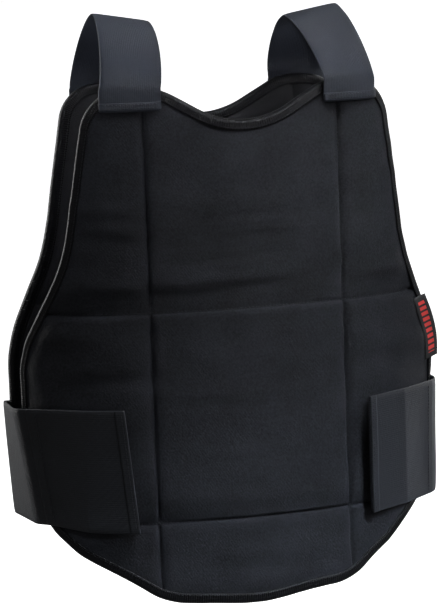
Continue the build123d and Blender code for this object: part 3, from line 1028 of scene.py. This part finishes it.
def make_belt(side, sign):
    """A waist belt as two strips that meet at a sewn seam, with a folded and stitched tip."""
    grid = belt_grid(BELT_SET[side])
    middle = BELT_COLUMNS // 2
    length = lengths(grid[:, middle])
    u = np.linspace(0, BELT_HEIGHT, BELT_COLUMNS)
    wobble = smooth_noise(length[:, None], u[None, :], 0.045, 0.040, 60 + sign)
    grid = grid + grid_normals(grid) * (0.0006 * wobble * swell(length, 0.03)[:, None])[..., None]
    in_front = (grid[:, middle, 1] < -0.02) & (grid[:, middle, 0] < BELT_SEAM_X)
    seam = int(np.flatnonzero(in_front)[0])
    outward = grid_normals(grid)
    outward = outward * np.sign((outward[seam, middle] * np.array([0.4, -1, 0])).sum())
    left_body, end_body = side + "_belt", side + "_belt_end"
    make_belt_patches(side, sign, grid, outward)

    main, slot = mirrored(grid[: seam + 1], sign), "waist_elastic"
    obj = strip(side + "_waist_belt", main, WEBBING_THICK, u, None, slot, length[: seam + 1])
    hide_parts(side + "_belt_root", side + "_belt_side")
    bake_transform(obj)

    first = seam - 4
    tip = mirrored(grid[first:] + outward[first:] * 0.0004, sign)
    tab = strip(side + "_belt_tip", tip, 0.0022, u, None, slot, length[first:])
    ahead = grid[seam + 1, middle, :2] - grid[seam - 1, middle, :2]
    ahead /= np.linalg.norm(ahead)
    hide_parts(side + "_belt_tab")
    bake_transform(tab)

    fold = mirrored(grid[-7:] + outward[-7:] * 0.0016, sign)
    strip(side + "_belt_tip_fold", fold, 0.0016, u, end_body, slot, length[-7:])
    for name, row, proud in (("_belt_tip_thread", -3, 0.0026), ("_belt_seam_thread", seam + 2, 0.0017)):
        points = grid[row, 1:-1] + outward[row, 1:-1] * proud
        line = (mirrored(points, sign), mirrored(outward[row, 1:-1], sign))
        sew(side + name, [line], end_body, slot)


def make_belt_patches(side, sign, grid, outward):
    """Hook tape under the belt's end, and the loop tape it closes on, sewn to the panel."""
    thick, under = 0.0008, slice(-34, -3)
    grid = mirrored(grid[under, 2:-2] - outward[under, 2:-2] * 0.0014, sign)
    u = np.linspace(0, 1, BELT_COLUMNS - 4)
    hook = strip(side + "_hook_tape", grid, thick, u, side + "_belt_end", "hook_tape")
    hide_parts(side + "_belt_hook_patch")
    u = np.linspace(0, 1, 21)
    down = np.linspace(0.05, 0.95, 21)[None, :]
    start = np.array([belt_tip_s(BELT_SET[side], d) for d in down[0]])[None, :] + 0.006
    s = start + (0.048 - 0.006) * np.linspace(0, 1, 20)[:, None]
    grid = mirrored(place(FRONT, s, BELT_TOP_Z - BELT_HEIGHT * down, -0.0004), sign)
    loop = strip(side + "_loop_tape", grid, thick, u, "front_panel", "loop_pile")
    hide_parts(side + "_belt_loop_patch")


TAG_TOP_Z = -0.2530
TAG_LENGTH = 0.0580
TAG_WIDTH = 0.0115


def make_tag(outline):
    """Small woven side label, its outer edge caught under the binding, with plain bars for marks."""
    share = np.linspace(0, 1, 28)[:, None]
    across = np.linspace(0, 1, 7)[None, :]
    rim = resample(outline, 0.0004)
    rim = rim[(rim[:, 0] > 0) & (rim[:, 1] < TAG_TOP_Z) & (rim[:, 1] > TAG_TOP_Z - TAG_LENGTH)]
    rim = resample_open(rim[np.argsort(-rim[:, 1])], 28)
    ahead = rim[-1] - rim[0]
    ahead /= np.linalg.norm(ahead)
    inset = 0.0050 + TAG_WIDTH * (1 - across)
    s = rim[:, :1] + ahead[1] * inset
    z = rim[:, 1:] - ahead[0] * inset
    edge = edge_distance(np.stack([s.ravel(), z.ravel()], -1), outline)
    depth = quilt_depth(FRONT, s.ravel(), z.ravel(), edge).reshape(s.shape)
    lift = 0.0012 + (0.0046 + 0.0006 * np.sin(math.pi * share)) * across
    grid = place(FRONT, s, z, depth * (1 - across) + 0.0008 * across - lift)
    obj = strip("side_label", grid, 0.0008, across[0], "front_panel", "label", share[:, 0])
    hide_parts("side_tag")


# ---------- build

for panel in (FRONT, BACK):
    outline = flat_outline(panel)
    node = panel["name"]
    make_cloth(panel, outline, node + "_cover", node + "_outer_shell", "panel_cloth", False)
    make_cloth(panel, outline, node + "_inner_cover", node + "_lining", "lining_cloth", True)
    make_foam(panel, outline)
    make_binding(panel, outline)
    make_stitching(panel, outline)

for side, sign in SIDES.items():
    make_strap(side, sign)
    make_belt(side, sign)
make_tag(flat_outline(FRONT))

# The straps' patches keep their CAD shape, with the tapes' materials.
for name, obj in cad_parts.items():
    for ending, slot in (("loop_patch", "loop_pile"), ("hook_patch", "hook_tape")):
        if name.endswith(ending):
            obj.data.materials.clear()
            obj.data.materials.append(MATERIALS[slot])


# ---------- stage, light and camera

def make_stage():
    mesh = bpy.data.meshes.new("floor")
    size, level = 60.0, cad_low.z - 0.35
    corners = [(-size, -size, level), (size, -size, level), (size, size, level), (-size, size, level)]
    mesh.from_pydata(corners, [], [(0, 1, 2, 3)])
    pale = {"Base Color": (0.9, 0.9, 0.9, 1), "Roughness": 0.9}
    glow = {"Emission Color": (1, 1, 1, 1), "Emission Strength": 1.0}
    mesh.materials.append(new_material("pale_floor", pale | glow)[0])
    floor = add_object("floor", mesh)
    floor.visible_diffuse = False
    floor.visible_glossy = False


def area_light(name, position, target, size, power, colour=(1, 1, 1), spread=180):
    data = bpy.data.lights.new(name, "AREA")
    data.spread = math.radians(spread)
    data.shape = "RECTANGLE"
    data.size, data.size_y = size
    data.energy = power
    data.color = colour
    lamp = add_object(name, data)
    lamp.location = position
    lamp.rotation_mode = "QUATERNION"
    lamp.rotation_quaternion = (Vector(target) - Vector(position)).to_track_quat("-Z", "Y")


def make_light():
    """White surroundings, a key from the wearer's left, a soft top light, two rims from behind,
    and four weak narrow lights in front that even out the chest, hem, shoulder and straps."""
    world = bpy.data.worlds.new("studio")
    bpy.context.scene.world = world
    world.use_nodes = True
    tree = world.node_tree
    background = tree.nodes["Background"]
    rays = add_node(tree, "ShaderNodeLightPath")
    seen, fill = 1.02, 0.25
    strength = math_node(tree, "MULTIPLY_ADD", rays.outputs["Is Camera Ray"], seen - fill)
    strength.node.inputs[2].default_value = fill
    tree.links.new(strength, background.inputs[1])
    background.inputs[0].default_value = (1, 1, 1, 1)
    cool = (0.90, 0.94, 1.0)
    area_light("key", (2.2, -1.0, 0.65), (0.02, 0, -0.22), (0.6, 0.6), 32, (0.95, 0.97, 1.0))
    area_light("chest", (0.35, -0.72, 1.05), (0.06, -0.07, -0.14), (0.12, 0.10), 0.21, (0.97, 0.98, 1.0), 12)
    area_light("hem", (0.30, -1.0, 0.45), (0.03, -0.08, -0.53), (0.3, 0.2), 0.60, (0.80, 0.90, 1.0), 16)
    area_light("left_rim", (-1.5, 1.75, 0.2), (0, 0, -0.25), (0.5, 2.0), 40)
    area_light("right_rim", (1.7, 1.4, 0.2), (0, 0, -0.25), (0.7, 2.0), 22)
    area_light("top", (0.50, -0.75, 1.7), (0, 0, -0.2), (0.7, 0.5), 30, cool)
    area_light("shoulder", (-0.45, -0.90, 1.20), (-0.095, -0.03, -0.01), (0.15, 0.15), 0.11, cool, 10)
    area_light("straps", (-0.60, -2.10, 0.05), (0.0, 0.04, 0.015), (0.3, 0.10), 0.15, (1.0, 0.98, 1.0), 7)


def make_camera():
    """Camera slightly to the wearer's right and above, turned to lean the object a little."""
    azimuth, elevation, lean = math.radians(-16), math.radians(9.38), math.radians(-2.15)
    distance, lens = 2.292, 154.6
    pivot = Vector((0, -0.017, -0.327))
    slide, lift = -0.0122, 0.0746
    back = Vector((math.sin(azimuth) * math.cos(elevation), -math.cos(azimuth) * math.cos(elevation),
                   math.sin(elevation)))
    eye = pivot + back * distance
    aim = pivot + Vector((slide * math.cos(azimuth), slide * math.sin(azimuth), lift))
    forward = (aim - eye).normalized()
    right = forward.cross(Vector((0, 0, 1))).normalized()
    up = right.cross(forward)
    turned_right = right * math.cos(lean) + up * math.sin(lean)
    turned_up = up * math.cos(lean) - right * math.sin(lean)
    data = bpy.data.cameras.new("camera")
    data.lens = lens
    data.clip_end = 200
    camera = add_object("camera", data)
    turn = Matrix((turned_right, turned_up, -forward)).transposed()
    camera.matrix_world = Matrix.Translation(eye) @ turn.to_4x4()
    bpy.context.scene.camera = camera
    bpy.context.scene.view_settings.view_transform = "Standard"


make_stage()
make_light()
make_camera()
